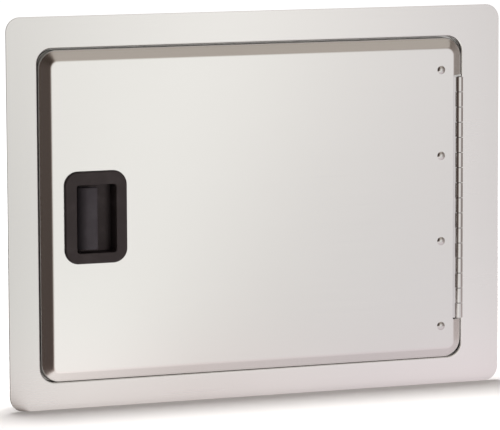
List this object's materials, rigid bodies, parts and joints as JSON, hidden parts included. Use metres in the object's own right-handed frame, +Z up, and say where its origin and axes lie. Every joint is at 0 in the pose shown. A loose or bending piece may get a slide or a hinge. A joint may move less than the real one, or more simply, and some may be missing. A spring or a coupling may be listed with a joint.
{
  "type": "island access door",
  "caption": "Stainless face frame with a raised door on a riveted continuous hinge and a recessed black paddle latch, closing a cut-out in an outdoor kitchen island.",
  "frame": {"origin": "centre of the face frame's outline, on the wall surface that the flange lies on", "axes": "+X from the latch side to the hinge side, +Y back into the island, +Z up; the viewer stands on the -Y side"},
  "size_m": [0.584, 0.0538, 0.432],
  "materials": {
    "frame_steel": "fine brushing across the width, satin",
    "door_steel": "fine brushing, satin",
    "hinge_steel": "drawn, lightly polished",
    "rivet_steel": "smooth domes",
    "plated_steel": "bright zinc plating",
    "spring_steel": "bright spring wire",
    "latch_black": "fine moulded grain",
    "paddle_black": "smooth moulded, slightly worn",
    "gasket_rubber": "closed foam",
    "bumper_rubber": "soft, matt"
  },
  "bodies": {
    "frame": {"face_frame": "frame_steel", "stop_top": "frame_steel", "stop_bottom": "frame_steel", "stop_latch": "frame_steel", "strike_plate": "plated_steel", "strike_screws": "plated_steel", "bumpers": "bumper_rubber", "hinge_frame_leaf": "hinge_steel", "hinge_frame_rivets": "rivet_steel", "hinge_pin": "hinge_steel"},
    "door": {"door_pan": "door_steel", "door_stiffener": "door_steel", "hinge_door_leaf": "hinge_steel", "hinge_door_rivets": "rivet_steel", "latch_housing": "latch_black", "latch_gasket": "gasket_rubber", "latch_clamp_ring": "plated_steel", "latch_studs": "plated_steel", "latch_nuts": "plated_steel", "paddle_pin": "plated_steel", "bolt_guide": "plated_steel", "guide_screws": "plated_steel", "bolt_spring": "spring_steel"},
    "paddle": {"latch_paddle": "paddle_black"},
    "bolt": {"latch_bolt": "plated_steel"}
  },
  "joints": [
    {"name": "door_swing", "type": "hinge", "parent": "frame", "child": "door", "pos_m": [0.24, -0.008, -0.00235], "axis": [0, 0, 1], "range_deg": [0, 175]},
    {"name": "paddle_pull", "type": "hinge", "parent": "door", "child": "paddle", "pos_m": [-0.21155, -0.0036, -0.00575], "axis": [0, 0, -1], "range_deg": [0, 21.5]},
    {"name": "bolt_slide", "type": "slide", "parent": "door", "child": "bolt", "axis": [1, 0, 0], "range_m": [0, 0.0082], "stiffness_N_per_m": 150, "springref_m": -0.02, "deforming": ["bolt_spring"]}
  ],
  "couplings": [
    {"joint": "paddle_pull", "follows": "bolt_slide", "rad_per_m": 45.76}
  ]
}
